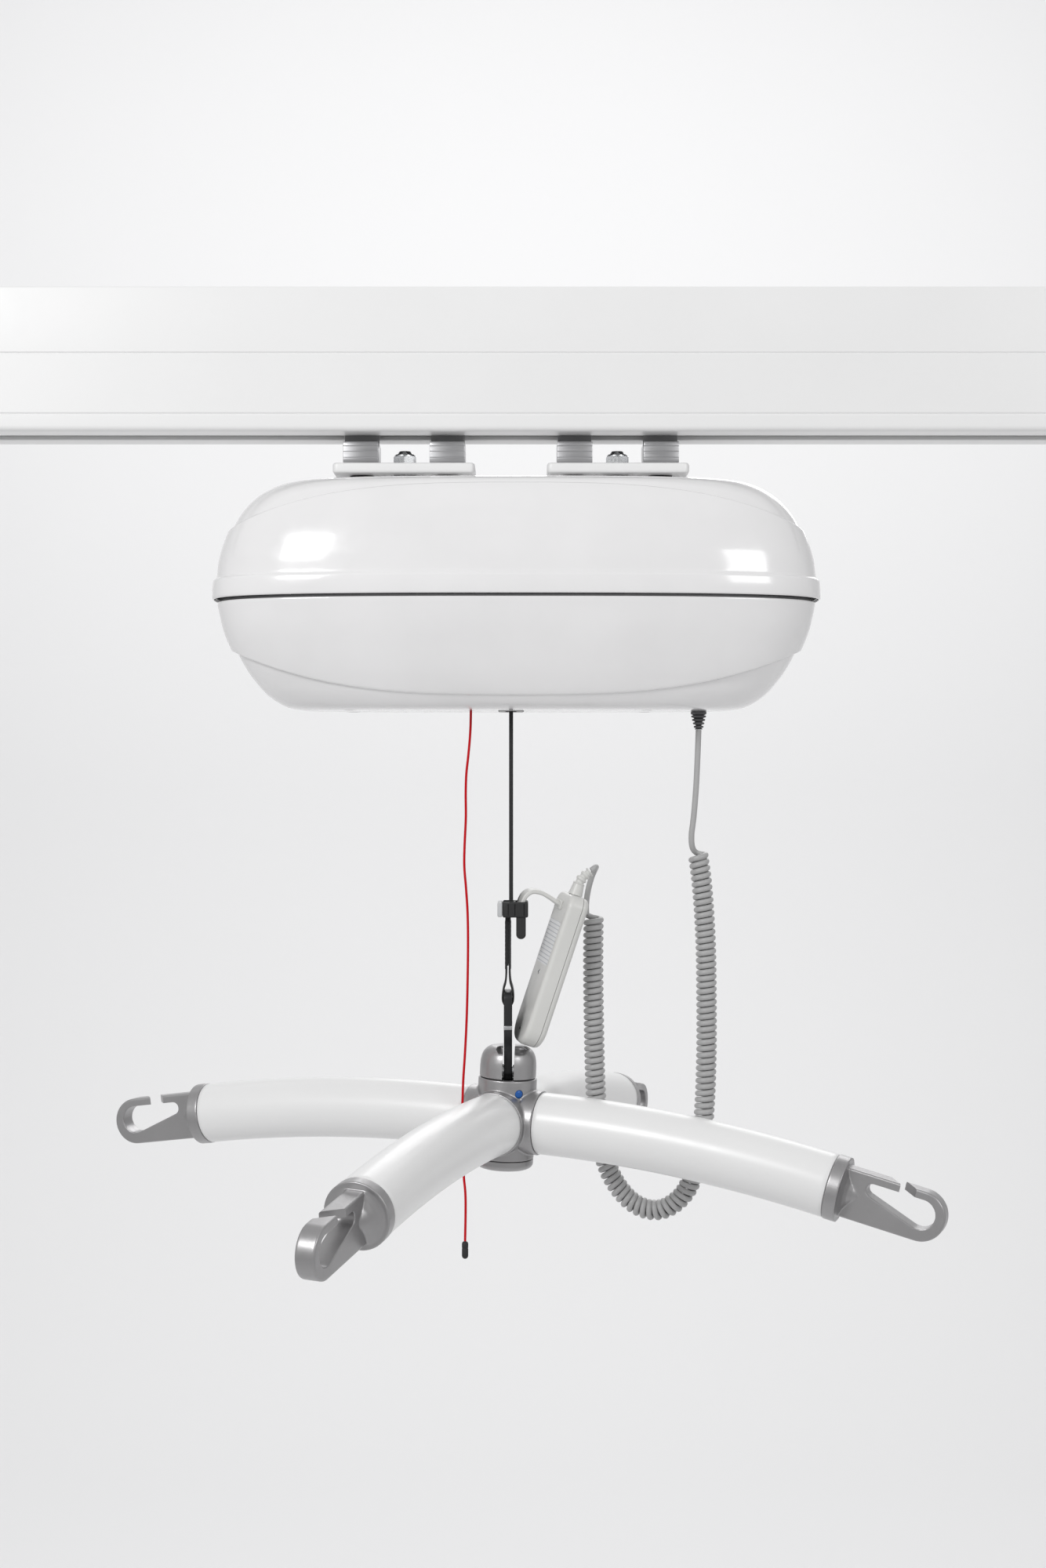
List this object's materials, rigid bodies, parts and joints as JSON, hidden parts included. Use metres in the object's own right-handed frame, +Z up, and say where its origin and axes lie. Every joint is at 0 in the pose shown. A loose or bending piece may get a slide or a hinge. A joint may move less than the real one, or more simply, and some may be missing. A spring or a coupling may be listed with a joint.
{
  "type": "patient lift hoist",
  "caption": "Ceiling-track patient hoist: motor casing on rail trolleys, webbing strap, swivelling spreader with open hooks, corded hand control.",
  "frame": {"origin": "centre of the rail's top face, which is screwed up to a ceiling", "axes": "+X along the rail to the end with the curly cord's outlet, +Y to the back, +Z up"},
  "size_m": [1.0086, 0.6808, 0.7825],
  "materials": {
    "white_paint": "satin",
    "gloss_white_plastic": "gloss",
    "satin_silver": "satin",
    "raw_aluminium": "brushed",
    "zinc_steel": "satin",
    "grey_steel": "satin",
    "dark_steel": "satin",
    "bronze": "satin",
    "black_webbing": "matte",
    "black_plastic": "matte",
    "black_rubber": "matte",
    "grey_plastic": "matte",
    "dark_grey_plastic": "matte",
    "light_grey_plastic": "satin",
    "cord_grey": "satin",
    "red_plastic": "satin",
    "blue_plastic": "gloss",
    "board_green": "satin"
  },
  "bodies": {
    "track": {"rail": "white_paint", "rail_end_cap_left": "grey_plastic", "rail_end_cap_right": "grey_plastic"},
    "hoist": {"trolley_plate_left": "white_paint", "trolley_plate_right": "white_paint", "trolley_block_left_outer": "raw_aluminium", "trolley_block_left_inner": "raw_aluminium", "trolley_block_right_outer": "raw_aluminium", "trolley_block_right_inner": "raw_aluminium", "suspension_stud_left": "zinc_steel", "suspension_stud_right": "zinc_steel", "top_cover": "gloss_white_plastic", "bottom_cover": "gloss_white_plastic", "casing_seal": "grey_plastic", "chassis": "grey_steel", "gearbox_housing": "raw_aluminium", "motor": "black_plastic", "battery_pack": "black_plastic", "control_board": "board_green", "strap_guide": "grey_plastic", "cord_gland": "dark_grey_plastic", "cord_tail_upper": "cord_grey", "curly_cord": "cord_grey"},
    "wheelset_left_outer": {"wheelset_left_outer": "black_plastic"},
    "wheelset_left_inner": {"wheelset_left_inner": "black_plastic"},
    "wheelset_right_outer": {"wheelset_right_outer": "black_plastic"},
    "wheelset_right_inner": {"wheelset_right_inner": "black_plastic"},
    "drum": {"drum": "grey_steel", "wound_strap": "black_webbing", "worm_wheel": "bronze"},
    "worm": {"worm_shaft": "grey_steel"},
    "strap_end": {"strap": "black_webbing", "strap_loop": "black_webbing", "handset_clip": "black_rubber"},
    "hanger": {"hanger_plate": "dark_steel"},
    "swivel_head": {"swivel_head": "satin_silver", "swivel_pin": "zinc_steel", "swivel_bolt": "zinc_steel"},
    "spreader": {"hub": "satin_silver", "hub_base": "satin_silver", "hub_plug": "blue_plastic", "arm_1": "white_paint", "arm_2": "white_paint", "arm_3": "white_paint", "arm_4": "white_paint", "hook_1": "satin_silver", "hook_2": "satin_silver", "hook_3": "satin_silver", "hook_4": "satin_silver"},
    "handset": {"handset_back_shell": "light_grey_plastic", "handset_front_shell": "light_grey_plastic", "handset_board": "board_green", "handset_hook": "light_grey_plastic", "handset_strain_relief": "light_grey_plastic", "cord_tail_handset": "cord_grey"},
    "button_up": {"button_up": "dark_grey_plastic"},
    "button_down": {"button_down": "dark_grey_plastic"},
    "emergency_release": {"emergency_cord": "red_plastic", "emergency_cord_grip": "black_rubber", "lowering_lever": "red_plastic"}
  },
  "joints": [
    {"name": "hoist_travel", "type": "slide", "parent": "track", "child": "hoist", "axis": [1, 0, 0], "range_m": [-0.3, 0.3]},
    {"name": "wheel_roll_left_outer", "type": "hinge", "parent": "hoist", "child": "wheelset_left_outer", "pos_m": [-0.1216, 0, -0.0881], "axis": [0, 1, 0], "continuous": true},
    {"name": "wheel_roll_left_inner", "type": "hinge", "parent": "hoist", "child": "wheelset_left_inner", "pos_m": [-0.0516, 0, -0.0881], "axis": [0, 1, 0], "continuous": true},
    {"name": "wheel_roll_right_inner", "type": "hinge", "parent": "hoist", "child": "wheelset_right_inner", "pos_m": [0.0516, 0, -0.0881], "axis": [0, 1, 0], "continuous": true},
    {"name": "wheel_roll_right_outer", "type": "hinge", "parent": "hoist", "child": "wheelset_right_outer", "pos_m": [0.1216, 0, -0.0881], "axis": [0, 1, 0], "continuous": true},
    {"name": "lift", "type": "slide", "parent": "hoist", "child": "strap_end", "axis": [0, 0, 1], "range_m": [-1.2, 0.08], "deforming": ["strap", "curly_cord"]},
    {"name": "drum_turn", "type": "hinge", "parent": "hoist", "child": "drum", "pos_m": [0.0455, 0, -0.24], "axis": [0, 1, 0], "range_deg": [-1600, 110]},
    {"name": "worm_turn", "type": "hinge", "parent": "hoist", "child": "worm", "pos_m": [0.05, 0.035, -0.2751], "axis": [1, 0, 0], "range_deg": [-48000, 3300]},
    {"name": "hanger_swing", "type": "hinge", "parent": "strap_end", "child": "hanger", "pos_m": [-0.0025, 0, -0.5707], "axis": [0, 1, 0], "range_deg": [0, 25], "deforming": ["strap_loop"]},
    {"name": "head_tilt", "type": "hinge", "parent": "hanger", "child": "swivel_head", "pos_m": [-0.0025, 0, -0.632], "axis": [0.999, 0, -0.0436], "range_deg": [-30, 30]},
    {"name": "spreader_turn", "type": "hinge", "parent": "swivel_head", "child": "spreader", "pos_m": [-0.00424, 0.00112, -0.67195], "axis": [0.0436, -0.0279, 0.9987], "continuous": true},
    {"name": "handset_lift_off", "type": "slide", "parent": "strap_end", "child": "handset", "axis": [0, 0, 1], "range_m": [0, 0.026], "deforming": ["cord_tail_handset"]},
    {"name": "button_up_press", "type": "slide", "parent": "handset", "child": "button_up", "axis": [-0.9246, -0.225, 0.3076], "range_m": [0, 0.0012], "stiffness_N_per_m": 800, "springref_m": -0.0005},
    {"name": "button_down_press", "type": "slide", "parent": "handset", "child": "button_down", "axis": [-0.9246, -0.225, 0.3076], "range_m": [0, 0.0012], "stiffness_N_per_m": 800, "springref_m": -0.0005},
    {"name": "emergency_pull", "type": "slide", "parent": "hoist", "child": "emergency_release", "axis": [0, 0, -1], "range_m": [0, 0.012], "stiffness_N_per_m": 1500, "springref_m": -0.002, "deforming": ["emergency_cord", "emergency_cord_grip"]}
  ],
  "couplings": [
    {"joint": "wheel_roll_left_outer", "follows": "hoist_travel", "rad_per_m": 43.478},
    {"joint": "wheel_roll_left_inner", "follows": "hoist_travel", "rad_per_m": 43.478},
    {"joint": "wheel_roll_right_inner", "follows": "hoist_travel", "rad_per_m": 43.478},
    {"joint": "wheel_roll_right_outer", "follows": "hoist_travel", "rad_per_m": 43.478},
    {"joint": "drum_turn", "follows": "lift", "rad_per_m": 22.883},
    {"joint": "worm_turn", "follows": "lift", "rad_per_m": 686.5}
  ]
}
